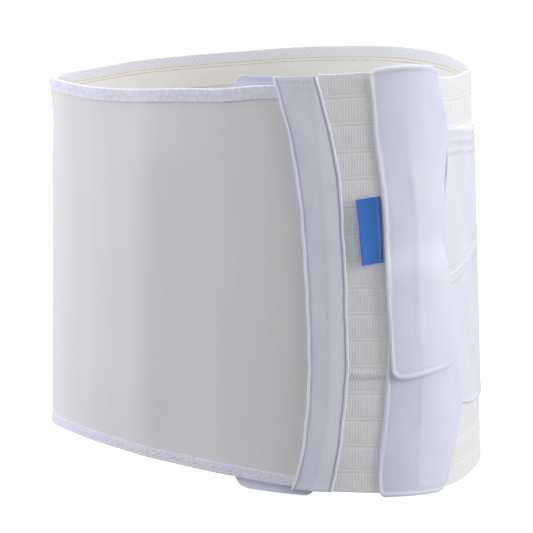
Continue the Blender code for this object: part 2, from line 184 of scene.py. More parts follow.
def smoothThrough(points, places, wanted):
    # smooth curves through rows of points that lie at places, read at the wanted places
    gaps = np.diff(places)[:, None, None]
    climbs = np.diff(points, axis=0) / gaps
    slopes = np.empty_like(points)
    slopes[1:-1] = (gaps[:-1] * climbs[1:] + gaps[1:] * climbs[:-1]) / (gaps[:-1] + gaps[1:])
    slopes[0] = 2 * climbs[0] - slopes[1]
    slopes[-1] = 2 * climbs[-1] - slopes[-2]
    row = np.clip(np.searchsorted(places, wanted, side="right") - 1, 0, len(places) - 2)
    gap = gaps[row]
    t = (wanted - places[row])[:, None, None] / gap
    start, end = points[row], points[row + 1]
    return (
        start + (end - start) * t * t * (3 - 2 * t)
        + gap * t * (1 - t) * (slopes[row] * (1 - t) - slopes[row + 1] * t)
    )


def runs(points, axis):
    # distance along the cloth from its first row or column
    steps = np.linalg.norm(np.diff(points, axis=axis), axis=2)
    start = np.zeros_like(np.take(steps, [0], axis=axis))
    return np.concatenate([start, np.cumsum(steps, axis=axis)], axis=axis)


def normalsOf(points):
    along = np.gradient(points, axis=1)
    upward = np.gradient(points, axis=0)
    normals = np.cross(along, upward)
    return normals / np.linalg.norm(normals, axis=2, keepdims=True)


def places(length, cell):
    return np.linspace(0, length, max(3, round(length / cell) + 1))


def layCloth(nodeName, wall, cell, columns=None, rows=None, everyOther=False):
    # the outer face of a cloth as a fine grid of points, with its distances from each edge
    points = skinRows(nodeName)
    if everyOther:
        points = points[::2]
    upPlaces = runs(points, 0).mean(axis=1)
    acrossPlaces = runs(points, 1).mean(axis=0)
    columns = places(acrossPlaces[-1], cell) if columns is None else columns(acrossPlaces[-1])
    rows = places(upPlaces[-1], cell) if rows is None else rows(upPlaces[-1])
    points = smoothThrough(points, upPlaces, rows)
    points = smoothThrough(points.swapaxes(0, 1), acrossPlaces, columns).swapaxes(0, 1)
    normals = normalsOf(points)
    points = points + normals * wall
    fromLeft, fromBottom = runs(points, 1), runs(points, 0)
    return {
        "points": points,
        "normals": normals,
        "left": fromLeft,
        "right": fromLeft[:, -1:] - fromLeft,
        "bottom": fromBottom,
        "top": fromBottom[-1:] - fromBottom,
        "across": columns,
        "up": rows,
        "wall": wall,
    }


def acrossCloth(cloth, shift):
    # moves each point along its row, towards the right edge
    way = cloth["points"][:, -1:] - cloth["points"][:, :1]
    way /= np.linalg.norm(way, axis=2, keepdims=True)
    cloth["points"] = cloth["points"] + way * shift[:, :, None]


def raiseCloth(cloth, relief):
    cloth["points"] = cloth["points"] + cloth["normals"] * relief[:, :, None]
    cloth["normals"] = normalsOf(cloth["points"])


def gridPiece(name, points, across, up):
    # a flat grid from the Add menu, laid on the points, with its own map in metres along the cloth
    deselectAll()
    rows, columns = points.shape[:2]
    bpy.ops.mesh.primitive_grid_add(x_subdivisions=columns - 1, y_subdivisions=rows - 1, size=1)
    piece = bpy.context.active_object
    piece.name = piece.data.name = name
    mesh = piece.data
    mesh.vertices.foreach_set("co", points.astype(np.float32).ravel())
    corner = np.empty(len(mesh.loops), np.int32)
    mesh.loops.foreach_get("vertex_index", corner)
    flat = np.stack([across[corner % columns], up[corner // columns]], axis=1)
    while mesh.uv_layers:
        mesh.uv_layers.remove(mesh.uv_layers[0])
    mesh.uv_layers.new(name="cloth").data.foreach_set("uv", flat.astype(np.float32).ravel())
    mesh.update()
    return piece


def selectOnly(piece):
    deselectAll()
    piece.select_set(True)
    bpy.context.view_layer.objects.active = piece


def useModifier(piece, kind, **settings):
    selectOnly(piece)
    modifier = piece.modifiers.new(kind.lower(), kind)
    for setting, value in settings.items():
        setattr(modifier, setting, value)
    bpy.ops.object.modifier_apply(modifier=modifier.name)


def smoothShade(piece, angle=50):
    selectOnly(piece)
    bpy.ops.object.shade_smooth_by_angle(angle=math.radians(angle))


def sewPiece(name, cloth, materials, nodeName, rim=0.4):
    # gives the cloth its thickness and round edges, and lets it stand for its plain solids
    piece = gridPiece(name, cloth["points"], cloth["across"], cloth["up"])
    for mark in ("hem", "groove"):
        if mark in cloth:
            values = piece.data.attributes.new(mark, "FLOAT", "POINT")
            values.data.foreach_set("value", cloth[mark].astype(np.float32).ravel())
    for material in materials:
        piece.data.materials.append(material)
    inside = 1 if len(materials) > 1 else 0
    useModifier(
        piece, "SOLIDIFY", thickness=cloth["wall"], offset=-1, use_even_offset=False,
        material_offset=inside, material_offset_rim=0,
    )
    if "inner" in cloth:
        # the back of the cloth stays smooth where its face has cords
        inner = cloth["inner"].reshape(-1, 3)
        for point, place in zip(piece.data.vertices[len(inner):2 * len(inner)], inner):
            point.co = place
    useModifier(
        piece, "BEVEL", width=rim * mm, segments=2, limit_method="ANGLE",
        angle_limit=math.radians(60),
    )
    smoothShade(piece)
    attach(piece, body)
    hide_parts(nodeName)
    return piece


def onCloth(cloth, across, up):
    # points of the cloth at distances from its lower left corner, and the way it faces there
    column = np.interp(across, cloth["across"], np.arange(len(cloth["across"])))
    row = np.interp(up, cloth["up"], np.arange(len(cloth["up"])))
    left = np.floor(column).astype(int).clip(0, len(cloth["across"]) - 2)
    below = np.floor(row).astype(int).clip(0, len(cloth["up"]) - 2)
    a, b = (column - left)[:, None], (row - below)[:, None]

    def blend(values):
        lower = (1 - a) * values[below, left] + a * values[below, left + 1]
        upper = (1 - a) * values[below + 1, left] + a * values[below + 1, left + 1]
        return (1 - b) * lower + b * upper

    return blend(cloth["points"]), blend(cloth["normals"])


def stitchLine(cloth, across, up, pitch, share=0.7, sideways=0.0):
    # straight stitches along a line on the cloth, or a zigzag when they step sideways
    fine, knots = np.linspace(0, 1, 500), np.linspace(0, 1, len(across))
    a, b = np.interp(fine, knots, across), np.interp(fine, knots, up)
    line, _ = onCloth(cloth, a, b)
    run = distances(line)
    starts = np.arange(0.3 * pitch, run[-1] - pitch, pitch)
    first, normals = onCloth(cloth, np.interp(starts, run, a), np.interp(starts, run, b))
    ends = starts + pitch * share
    last, _ = onCloth(cloth, np.interp(ends, run, a), np.interp(ends, run, b))
    if sideways:
        along = last - first
        side = np.cross(normals, along / np.linalg.norm(along, axis=1, keepdims=True))
        side *= sideways * (-1.0) ** np.arange(len(starts))[:, None]
        first, last = first + side, last - side
    return first, last, normals


def sewThreads(name, lines, material, thick=0.2, sink=0.12):
    # every stitch is a short thread that comes up out of the cloth and goes back in
    first, last, normals = (np.concatenate(parts) for parts in zip(*lines))
    along = last - first
    side = np.cross(normals, along)
    side /= np.linalg.norm(side, axis=1, keepdims=True)
    sides = 6
    turns = np.linspace(0, 2 * math.pi, sides, endpoint=False)
    # its rings: place along the stitch, and width and height in thicknesses
    shape = ((0.0, 0.35, -1.2), (0.14, 0.95, 0.1), (0.5, 1.0, 0.5), (0.86, 0.95, 0.1), (1.0, 0.35, -1.2))
    rings = []
    for place, width, height in shape:
        middle = first + along * place + normals * (height * thick - sink) * mm
        rings.append(np.stack([
            middle + (side * math.cos(turn) + normals * math.sin(turn)) * width * thick * mm
            for turn in turns
        ], axis=1))
    points = np.stack(rings, axis=1).reshape(-1, 3)
    faces = []
    for stitch in range(len(first)):
        base = stitch * len(shape) * sides
        last = base + (len(shape) - 1) * sides
        for ring in range(base, last, sides):
            for step in range(sides):
                here, ahead = ring + step, ring + (step + 1) % sides
                faces.append((here, here + sides, ahead + sides, ahead))
        faces.append(tuple(range(base, base + sides)))
        faces.append(tuple(reversed(range(last, last + sides))))
    mesh = bpy.data.meshes.new(name)
    mesh.from_pydata(points.tolist(), [], faces)
    mesh.materials.append(material)
    piece = bpy.data.objects.new(name, mesh)
    bpy.context.scene.collection.objects.link(piece)
    smoothShade(piece, 80)
    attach(piece, body)
    return piece


def swell(distance, place, half):
    # a smooth rise from 0 to 1 at a place, and down again
    return np.exp(-(((distance - place) / half) ** 2))


def hemRoll(distance, width, height):
    # a turned hem: a flat roll with round shoulders, and a dip where it is sewn down
    inside = np.clip(distance / width, 0, 1)
    roll = np.sqrt(np.clip(1 - np.abs(2 * inside - 1) ** 3, 0, 1)) * (distance < width)
    return height * roll - 0.25 * height * swell(distance, width, 0.25 * width)


# Materials

def colour(hexCode):
    # sRGB hex to the linear colour that a shader takes
    parts = [int(hexCode[place:place + 2], 16) / 255 for place in (0, 2, 4)]
    linear = [part / 12.92 if part <= 0.04045 else ((part + 0.055) / 1.055) ** 2.4 for part in parts]
    return (*linear, 1.0)


def addNode(owner, kind, settings, sources, output=0):
    # one node of a material or the world. Each of its inputs takes a value, or another node's output
    node = owner.node_tree.nodes.new("ShaderNode" + kind)
    for setting, value in settings.items():
        setattr(node, setting, value)
    for socket, source in sources.items():
        if isinstance(source, bpy.types.NodeSocket):
            owner.node_tree.links.new(source, node.inputs[socket])
        else:
            node.inputs[socket].default_value = source
    return node.outputs[output]


def newMaterial(name, baseHex, roughness, sheen=0.0, sheenHex="FFFFFF"):
    material = bpy.data.materials.new(name)
    material.use_nodes = True
    shader = material.node_tree.nodes["Principled BSDF"]
    for socket, value in {
        "Base Color": colour(baseHex),
        "Roughness": roughness,
        "IOR": 1.5,  # nylon and polyester yarn
        "Specular IOR Level": 0.25,  # yarn scatters most of the gloss away
        "Sheen Weight": sheen,
        "Sheen Roughness": 0.5,
        "Sheen Tint": colour(sheenHex),
    }.items():
        shader.inputs[socket].default_value = value
    return material


# settings that many of the nodes share
times, plus, minus, timesPlus = (
    {"operation": name} for name in ("MULTIPLY", "ADD", "SUBTRACT", "MULTIPLY_ADD")
)
eased = {"interpolation_type": "SMOOTHSTEP"}
ofColours = {"data_type": "RGBA"}


def layTones(material, surface, tones):
    # lays tones over a first colour, one after another, each by its own share
    for share, toneHex in tones:
        surface = addNode(material, "Mix", ofColours, {0: share, 6: surface, 7: colour(toneHex)}, 2)
    return surface


def clothMap(material):
    # distance along and up the cloth, in millimetres
    place = addNode(material, "UVMap", {"uv_map": "cloth"}, {})
    return addNode(material, "VectorMath", {"operation": "SCALE"}, {0: place, "Scale": 1000.0})


def waves(periodMm):
    # the scale at which a wave texture makes one wave, or one yarn, in each period
    return math.pi / 10 / periodMm


def patches(material, place, acrossMm, upMm, detail=2.0):
    # soft uneven patches, about as wide and as tall as this
    spread = addNode(material, "Mapping", {}, {"Vector": place, "Scale": (1 / acrossMm, 1 / upMm, 1)})
    return addNode(
        material, "TexNoise", {},
        {"Vector": spread, "Scale": 1.0, "Detail": detail, "Roughness": 0.55},
    )


def lineAt(material, distance, place, half, strength):
    # a thin line that runs at this distance: its strength there, and 0 beside it
    past = addNode(material, "Math", minus, {0: distance, 1: place})
    away = addNode(material, "Math", {"operation": "ABSOLUTE"}, {0: past})
    return addNode(
        material, "MapRange", eased,
        {"Value": away, "From Min": 0.3 * half, "From Max": half, "To Min": strength, "To Max": 0.0},
    )


def finishCloth(material, surface, relief, depthMm, strength):
    # gives the material's shader its colour and its fine relief
    shader = material.node_tree.nodes["Principled BSDF"]
    normal = addNode(
        material, "Bump", {}, {"Height": relief, "Distance": depthMm * mm, "Strength": strength}
    )
    material.node_tree.links.new(surface, shader.inputs["Base Color"])
    material.node_tree.links.new(normal, shader.inputs["Normal"])
    return material


# Elastic band. Lengths in these dictionaries are in millimetres
webbing = {
    "hex": "F6F5F8", "valleyShadeHex": "D8D7DD", "cordHex": "F3F0EA", "cordGrooveShadeHex": "C4C0BC", "roughness": 0.9,
    "insideHex": "FAF8F4", "firstBayHex": "F6F6FC", "toothHex": "D2D2E4", "tanHex": "CDBFA6",
    "wale": 1.75, "waleSway": 1.3, "course": 0.9, "backWale": 1.3, "tooth": 2.0, "nap": 0.8,
    "wall": 2.0, "column": 3.6, "leastRow": 0.45, "edgeRows": (1.2, 2.6),
    "cordRows": (0.0, 0.75, 1.35, 1.95, 2.6), "bayRows": (4.2, 6.3, 8.3, 10.3, 12.4),
    "groove": 0.13, "grooveHalf": 0.5, "grooveFrom": 1.2, "cord": 0.16, "cordHalf": 0.7,
    "puff": 0.22, "bayHalf": 8.3, "insideShift": 4.6, "tanFrom": 1.05,
}


def ribDistance(material, place, ribs):
    # millimetres up the cloth, and from there up or down to the nearest cord
    up = addNode(material, "SeparateXYZ", {}, {0: place}, "Y")
    past = addNode(material, "Math", minus, {0: up, 1: ribs[0] / mm})
    half = (ribs[1] - ribs[0]) / mm / 2
    return up, addNode(material, "Math", {"operation": "PINGPONG"}, {0: past, 1: half})


def webbingOutside(ribs):
    # knitted round rubber cords: soft upright wales that wander, fade in patches and lie flat at the
    # cords, so the light breaks up on it. Real wales lie about 1 mm apart, these are drawn coarser
    material = newMaterial("covered elastic webbing, knitted", webbing["hex"], webbing["roughness"], 0.15)
    place = clothMap(material)
    _, distance = ribDistance(material, place, ribs)
    drift = addNode(
        material, "Math", times,
        {0: patches(material, place, 8.3333, 4.5455), 1: webbing["waleSway"]},
    )
    shift = addNode(material, "CombineXYZ", {}, {"X": drift})
    swayed = addNode(material, "VectorMath", plus, {0: place, 1: shift})
    wales = addNode(material, "TexWave", {}, {"Vector": swayed, "Scale": waves(webbing["wale"])}, 1)
    bays = addNode(
        material, "MapRange", eased,
        {"Value": distance, "From Min": 1.6, "From Max": 3.0, "To Min": 0.2},
    )
    wearAndPaintedLight = addNode(
        material, "MapRange", eased,
        {"Value": patches(material, place, 2.5, 6.25, 3.0), "From Min": 0.3, "From Max": 0.75, "To Min": 0.3},
    )
    depth = addNode(material, "Math", times, {0: wearAndPaintedLight, 1: bays})
    # painted shade: the hollows between wales are painted darker, and a thin darker line is painted in the
    # groove beside each cord
    hollows = addNode(material, "MapRange", {}, {"Value": wales, "To Min": 0.5, "To Max": 0.0})
    valleys = addNode(material, "Math", times, {0: hollows, 1: depth})
    lines = lineAt(material, distance, webbing["grooveFrom"], 0.6, 0.24)
    cords = addNode(
        material, "MapRange", eased,
        {"Value": distance, "From Min": 0.3, "From Max": 0.9, "To Min": 0.65, "To Max": 0.0},
    )
    tones = ((valleys, webbing["valleyShadeHex"]), (lines, webbing["cordGrooveShadeHex"]), (cords, webbing["cordHex"]))
    surface = layTones(material, colour(webbing["hex"]), tones)
    courses = addNode(
        material, "TexWave", {"bands_direction": "Y"},
        {"Vector": place, "Scale": waves(webbing["course"]), "Distortion": 0.4, "Detail": 1.0}, 1,
    )
    relief = addNode(material, "Math", times, {0: wales, 1: depth})
    relief = addNode(material, "Math", timesPlus, {0: courses, 1: 0.2, 2: relief})
    return finishCloth(material, surface, relief, 0.25, 0.7)


def webbingInside(ribs):
    # the back, brushed soft: the cords show as two broken tan threads, and the first bay is bound in
    # lilac white with slanted stitches, which are drawn about twice as coarse as real ones
    material = newMaterial("elastic webbing, brushed back", webbing["insideHex"], 0.92, 0.2)
    place = clothMap(material)
    ribs = ribs + webbing["insideShift"] * mm
    up, distance = ribDistance(material, place, ribs)
    first = addNode(
        material, "MapRange", eased,
        {"Value": up, "From Min": ribs[-1] / mm + 1.2, "From Max": ribs[-1] / mm + 2.2},
    )
    slants = addNode(
        material, "TexWave", {"bands_direction": "DIAGONAL"},
        {"Vector": place, "Scale": waves(webbing["tooth"]), "Distortion": 2.5, "Detail": 1.0}, 1,
    )
    faint = addNode(material, "Math", times, {0: first, 1: 0.28})
    teeth = addNode(material, "Math", times, {0: slants, 1: faint})
    broken = addNode(
        material, "MapRange", eased,
        {"Value": patches(material, place, 4.0, 1.0), "From Min": 0.3, "From Max": 0.6, "To Min": 0.5},
    )
    tanLines = lineAt(material, distance, webbing["tanFrom"], 0.5, 0.75)
    threads = addNode(material, "Math", times, {0: tanLines, 1: broken})
    tones = ((first, webbing["firstBayHex"]), (teeth, webbing["toothHex"]), (threads, webbing["tanHex"]))
    surface = layTones(material, colour(webbing["insideHex"]), tones)
    upright = addNode(material, "Mapping", {}, {"Vector": place, "Scale": (1, 0.04, 1)})
    wales = addNode(
        material, "TexWave", {},
        {"Vector": upright, "Scale": waves(webbing["backWale"]), "Distortion": 1.0, "Detail": 1.0}, 1,
    )
    nap = patches(material, place, webbing["nap"], webbing["nap"])
    relief = addNode(material, "Math", timesPlus, {0: wales, 1: 0.3, 2: nap})
    return finishCloth(material, surface, relief, 0.1, 0.5)


def makeWebbing():
    plain = skinRows("elastic_band")
    heights = runs(plain, 0).mean(axis=1)
    ribShares = heights[1:-1:2] / heights[-1]

    def rowsAt(height):
        wanted = {0.0, height}
        for offset in webbing["edgeRows"]:
            wanted.update((offset * mm, height - offset * mm))
        for rib in ribShares * height:
            wanted.update(rib + side * offset * mm for offset in webbing["cordRows"] for side in (-1, 1))
            wanted.update(rib + offset * mm for offset in webbing["bayRows"])
        rows = sorted(row for row in wanted if 0 <= row <= height)
        kept = [rows[0]]
        for row in rows[1:]:
            if row - kept[-1] > webbing["leastRow"] * mm:
                kept.append(row)
        kept[-1] = height
        return np.array(kept)

    cloth = layCloth(
        "elastic_band", webbing["wall"] * mm, webbing["column"] * mm, rows=rowsAt, everyOther=True
    )
    ribs = ribShares * cloth["up"][-1]
    relief = np.zeros(len(cloth["up"]))
    nearest = np.full(len(cloth["up"]), 1 / mm)
    for rib in ribs:
        offset = np.abs(cloth["up"] - rib) / mm
        relief += webbing["cord"] * mm * swell(offset, 0, webbing["cordHalf"])
        relief -= webbing["groove"] * mm * swell(offset, webbing["grooveFrom"], webbing["grooveHalf"])
        nearest = np.minimum(nearest, offset)
    bay = np.clip(nearest / webbing["bayHalf"], 0, 1)
    relief += webbing["puff"] * mm * (np.sin(bay * math.pi / 2) - 1)
    cloth["inner"] = cloth["points"] - cloth["normals"] * cloth["wall"]
    raiseCloth(cloth, np.repeat(relief[:, None], len(cloth["across"]), axis=1))
    piece = sewPiece(
        "elastic_webbing", cloth, [webbingOutside(ribs), webbingInside(ribs)],
        "elastic_band", 0.5,
    )
    return cloth, piece


# Front panel
knitPanel = {
    "hex": "E3E1E1", "shadeHex": "DCDADC", "lightHex": "E4E2E4", "roughness": 0.8,
    "loop": 0.9, "course": 0.72, "mottle": (23.333, 93.333), "wall": 2.0, "cell": 3.4,
    "ripple": 0.35, "farEase": 20, "stripEase": 40,
    "turn": 4.0, "turnAt": 137, "turnHalf": 26, "turnEase": 45, "turnLeast": 0.3,
    "stitch": 2.8, "stitchRows": (3.0, 8.0), "stitchEnds": 10,
}


def knitMaterial():
    # warp knit laminated to thin foam: a smooth dull face with hardly any texture and a faint upright
    # mottle. The loops are about twice as coarse as real ones
    material = newMaterial(
        "laminated warp knit, smooth face", knitPanel["hex"], knitPanel["roughness"], 0.1
    )
    place = clothMap(material)
    loops, courses = (
        addNode(
            material, "TexWave", {"bands_direction": way},
            {"Vector": place, "Scale": waves(knitPanel[period]), "Distortion": 0.3, "Detail": 1.0}, 1,
        )
        for way, period in (("X", "loop"), ("Y", "course"))
    )
    mottle = patches(material, place, *knitPanel["mottle"], 3.0)
    surface = layTones(material, colour(knitPanel["shadeHex"]), ((mottle, knitPanel["lightHex"]),))
    relief = addNode(material, "Math", times, {0: loops, 1: courses})
    return finishCloth(material, surface, relief, 0.08, 0.5)


def makePanel():
    cloth = layCloth("front_panel", knitPanel["wall"] * mm, knitPanel["cell"] * mm)
    across, up = cloth["left"], cloth["bottom"]
    # slow ripples, about 120 and 65 mm long, that lean and wander a little
    ripple = (
        0.6 * np.sin(across * 52 + 1.3 * np.sin(up * 11)) + 0.4 * np.sin(across * 97 + up * 9 + 1.7)
    )
    near = np.clip(cloth["right"] / (knitPanel["stripEase"] * mm), 0, 1)
    near *= np.clip(across / (knitPanel["farEase"] * mm), 0, 1)
    # the panel turns softly near its middle, less so at its bound edges
    turn = 1 / np.cosh((across / mm - knitPanel["turnAt"]) / knitPanel["turnHalf"])
    free = np.clip(np.minimum(up, cloth["top"]) / (knitPanel["turnEase"] * mm), 0, 1)
    turn *= knitPanel["turnLeast"] + (1 - knitPanel["turnLeast"]) * free
    raiseCloth(cloth, (knitPanel["ripple"] * ripple + knitPanel["turn"] * turn) * mm * near)
    piece = sewPiece("panel_knit_face", cloth, [knitMaterial()], "front_panel")
    return cloth, piece


# Brushed cloths, cool white: each piece's dictionary gives its two tones, the paler tone of its
# hems, which is a painted highlight on the raised rolls, the size of its nap and of its cloudy patches, and
# how deep its nap is
brushed = {"hemHighlightHex": "F3F3FF", "nap": 0.6, "depth": 0.12, "sheen": 0.4, "cloud": 18.0}
# painted shade, laid along sewn grooves and furrows where shade falls
grooveShadeHex = "A9AABC"


def brushedMaterial(name, look):
    material = newMaterial(name, look["hex"], 0.95, look["sheen"], "F2F4FF")
    place = clothMap(material)
    clouds = addNode(
        material, "MapRange", eased,
        {"Value": patches(material, place, look["cloud"], look["cloud"] / 0.45),
         "From Min": 0.3, "From Max": 0.7},
    )
    # the hem mark paints a highlight on raised hems, beads and slopes that face the light; the groove mark
    # paints shade in seams and furrows
    hem, groove = (
        addNode(material, "Attribute", {"attribute_name": mark}, {}, "Fac") for mark in ("hem", "groove")
    )
    tones = ((clouds, look["hex"]), (hem, look["hemHighlightHex"]), (groove, grooveShadeHex))
    surface = layTones(material, colour(look["shadeHex"]), tones)
    nap = patches(material, place, look["nap"], look["nap"], 4.0)
    return finishCloth(material, surface, nap, look["depth"], 0.7)


# Bindings: a tape folded over an edge of the panel
tape = {
    **brushed, "hex": "EFEEFC", "shadeHex": "DFDDF2", "nap": 0.9, "depth": 0.3, "sheen": 0.2,
    "cloud": 1.9, "topWidth": 7.8, "bottomWidth": 6.6, "wall": 0.6, "gap": 0.1, "cell": 1.6,
    "faceRows": 9, "overEdge": 10, "backRows": 4, "leftEnd": 10.3, "stripGap": 0.35, "search": 6,
    "lump": 0.16, "lumpAlong": (0.9, 5.1), "lumpTurn": 1.6, "cornerLift": 2.4, "cornerRun": 9.0,
    "zigzagStep": 1.25, "zigzagHalf": 1.6,
}


def makeBinding(name, panel, strip, upward, nodeName):
    edgeRow = -1 if upward > 0 else 0
    points, normals = panel["points"][edgeRow], panel["normals"][edgeRow]
    rise = np.gradient(panel["points"], axis=0)[edgeRow]
    rise = upward * rise / np.linalg.norm(rise, axis=1, keepdims=True)
    length = runs(panel["points"], 1)[edgeRow]
    leftEnd, search = tape["leftEnd"] * mm, tape["search"] * mm
    out = (tape["gap"] + tape["wall"]) * mm
    width = tape["topWidth" if upward > 0 else "bottomWidth"] * mm
    section = [(out, -width * (1 - step / tape["faceRows"])) for step in range(tape["faceRows"])]
    half = panel["wall"] / 2 + out
    for step in range(tape["overEdge"] + 1):
        turn = math.pi * step / tape["overEdge"]
        section.append((half * math.cos(turn) - panel["wall"] / 2, out * math.sin(turn)))
    for step in range(1, tape["backRows"] + 1):
        section.append((-panel["wall"] - out, -width * step / tape["backRows"]))
    stripEdge = strip["points"][:, 0]
    count = round((length[-1] - leftEnd) / (tape["cell"] * mm))
    rows, mean = [], []
    for row, (outward, past) in enumerate(section):
        # the tape stops where the strip's slanting edge crosses this height
        height = points[-1, 2] + upward * past
        beside = np.array([np.interp(height, stripEdge[:, 2], stripEdge[:, axis]) for axis in (0, 1)])
        rightEnd = length[np.argmin(np.linalg.norm(points[:, :2] - beside, axis=1))]
        nearby = np.linspace(rightEnd - search, min(rightEnd + search, length[-1]), 60)
        line = smoothThrough(points[:, None, :], length, nearby)[:, 0, :2]
        rightEnd = nearby[np.argmin(np.linalg.norm(line - beside, axis=1))] - tape["stripGap"] * mm
        columns = np.linspace(leftEnd, rightEnd, count)
        place, facing, way = (
            smoothThrough(values[:, None, :], length, columns)[:, 0, :]
            for values in (points, normals, rise)
        )
        lumps = np.zeros(count)
        if 0 < row < len(section) - 1:
            short, long = (columns / (step * mm) for step in tape["lumpAlong"])
            lumps = tape["lump"] * mm * np.sin(short + row * tape["lumpTurn"]) * np.sin(long)
        lift = tape["cornerLift"] * mm * np.exp(-(columns - leftEnd) / (tape["cornerRun"] * mm))
        rows.append(place + facing * (outward + lumps)[:, None] + way * (past + lift)[:, None])
        mean.append(columns)
    sheet = np.array(rows)[::upward]
    up = runs(sheet, 0).mean(axis=1)
    cloth = {
        "points": sheet, "normals": normalsOf(sheet), "across": np.mean(mean, axis=0), "up": up,
        "wall": tape["wall"] * mm,
    }
    piece = sewPiece(name, cloth, [bindingCloth], nodeName, 0.25)
    middle = 0.5 * width if upward > 0 else up[-1] - 0.5 * width
    ends = [cloth["across"][0] + 2 * mm, cloth["across"][-1] - 1 * mm]
    zigzag = stitchLine(
        cloth, ends, [middle, middle], tape["zigzagStep"] * mm, 1.0, tape["zigzagHalf"] * mm
    )
    return piece, zigzag


# Closing strip
velour = {
    **brushed, "hex": "EEF0FF", "shadeHex": "E3E5F8", "hemHighlightHex": "F1F3FF", "nap": 0.7, "depth": 0.15,
    "wall": 1.4, "row": 2.0, "bead": 1.7, "beadRaise": 0.75, "beadColumns": 9, "innerColumns": 16,
    "sway": 0.45, "swayFrom": 5, "foot": 4.0, "footRaise": 0.5, "dip": 0.45, "step": 0.7,
    "stitch": 2.8, "sideRow": 3.6, "sideEnds": (8, 9), "footRow": 5.5, "footStitch": 2.6,
    "topRows": (2.6, 6.2), "zigzagStep": 1.2, "zigzagHalf": 1.5, "rowEnds": 4,
}


def layStrip():
    bead = velour["bead"] * mm
    shoulder = 1.6 * bead

    def columnsAt(width):
        edge = np.linspace(0, shoulder, velour["beadColumns"])
        inner = np.linspace(shoulder, width - shoulder, velour["innerColumns"] + 2)[1:-1]
        return np.concatenate([edge, inner, width - edge[::-1]])

    cloth = layCloth("closing_strip", velour["wall"] * mm, velour["row"] * mm, columns=columnsAt)
    up, shift = cloth["bottom"], 0
    for edge, turn in (("left", 0.0), ("right", 2.1)):
        # slow bends about 70 mm long, and small ones of 24 mm
        sway = 0.6 * np.sin(up * 88 + turn + 1.4 * np.sin(up * 31 + turn))
        sway += 0.4 * np.sin(up * 260 + 3 * turn)
        shift = shift + sway * np.clip(1 - cloth[edge] / (velour["swayFrom"] * mm), 0, 1)
    acrossCloth(cloth, velour["sway"] * mm * shift)
    side = np.minimum(cloth["left"], cloth["right"])
    relief = hemRoll(side, bead, velour["beadRaise"] * mm)
    flat = np.clip((side - bead) / bead, 0, 1)
    relief += hemRoll(up, velour["foot"] * mm, velour["footRaise"] * mm) * flat
    relief -= velour["dip"] * mm * swell(side, bead * 1.25, 0.35 * bead)
    share = cloth["left"] / (cloth["left"] + cloth["right"])
    # the velour is doubled on the right: a low step near the middle, then a slope to the edge
    step = 0.52 + 0.3 * np.clip(1 - cloth["top"] / (60 * mm), 0, 1)
    doubled = np.clip((share - step) / 0.08, 0, 1)
    relief += velour["step"] * mm * doubled * (1 - share) / (1 - step)
    raiseCloth(cloth, relief)
    # painted light: the doubled right half is painted paler where its slope faces the light, and the beads
    # paler as painted highlight; the groove mark paints shade in the seams beside the beads
    wearAndPaintedLight = doubled * (0.75 + 0.2 * np.sin(up * 31)) * np.clip(up / (30 * mm), 0.4, 1)
    cloth["hem"] = np.maximum(np.clip(1.2 - side / bead, 0, 1) * 0.9, wearAndPaintedLight)
    cloth["groove"] = swell(side, bead * 1.3, 0.3 * bead) * np.where(share > 0.5, 0.7, 0.3)
    return cloth


def makeStrip(cloth):
    piece = sewPiece("velour_strip", cloth, [velourCloth], "closing_strip")
    width, height = cloth["across"][-1], cloth["up"][-1]
    step, half, ends, side = (velour[key] * mm for key in ("zigzagStep", "zigzagHalf", "rowEnds", "sideRow"))
    low, high = velour["sideEnds"]
    lines = [
        stitchLine(cloth, [ends, width - ends], [height - drop * mm] * 2, step, 1.0, half)
        for drop in velour["topRows"]
    ]
    lines.append(
        stitchLine(cloth, [ends, width - ends], [velour["footRow"] * mm] * 2, velour["footStitch"] * mm)
    )
    for across in (side, width - side):
        lines.append(
            stitchLine(cloth, [across] * 2, [low * mm, height - high * mm], velour["stitch"] * mm)
        )
    threads = sewThreads("strip_stitches", lines, threadCloth, 0.22)


# Tab behind the panel
tab = {
    **brushed, "hex": "E3E4F3", "shadeHex": "D8D9EA", "nap": 0.8, "depth": 0.15, "wall": 1.8,
    "cell": 1.1, "hem": 3.0, "hemRaise": 0.35, "corner": 7.0, "footCorner": 15.0,
    "lip": 3.4, "lipHeight": 11.0, "lipSlant": 8.0,
}


def trimSides(cloth, starts, ends):
    # draws every row in between its own two limits
    for row, (start, end) in enumerate(zip(starts, ends)):
        run = cloth["left"][row]
        wanted = start + (end - start) * run / run[-1]
        for values in (cloth["points"][row], cloth["normals"][row]):
            for axis in range(3):
                values[:, axis] = np.interp(wanted, run, values[:, axis].copy())
        cloth["left"][row] = wanted - start
    cloth["right"] = cloth["left"][:, -1:] - cloth["left"]
    cloth["across"] = cloth["left"].mean(axis=0)


def roundCorner(fromEdge, radius):
    # how far a round corner draws the side in, by its distance from the edge
    return radius - np.sqrt(radius ** 2 - (radius - fromEdge.clip(0, radius)) ** 2)


def makeTab():
    cloth = layCloth("inner_tab", tab["wall"] * mm, tab["cell"] * mm)
    head = roundCorner(cloth["top"][:, 0], tab["corner"] * mm)
    foot = roundCorner(cloth["bottom"][:, 0], tab["footCorner"] * mm)
    # the foot is rounder on its free side than under the strip
    tight = foot * tab["corner"] / tab["footCorner"]
    trimSides(cloth, foot + head, cloth["left"][:, -1] - tight - head)
    edge = np.minimum(np.minimum(cloth["left"], cloth["right"]), np.minimum(cloth["bottom"], cloth["top"]))
    # it stands out in a lip below the panel's slanting edge
    free = tab["lipHeight"] - tab["lipSlant"] * cloth["left"] / cloth["left"].max()
    lip = tab["lip"] * mm * free / tab["lipHeight"] * np.clip(1 - cloth["bottom"] / mm / free, 0, 1) ** 1.3
    raiseCloth(cloth, hemRoll(edge, tab["hem"] * mm, tab["hemRaise"] * mm) + lip)
    piece = sewPiece("brushed_tab", cloth, [tabCloth], "inner_tab", 0.6)


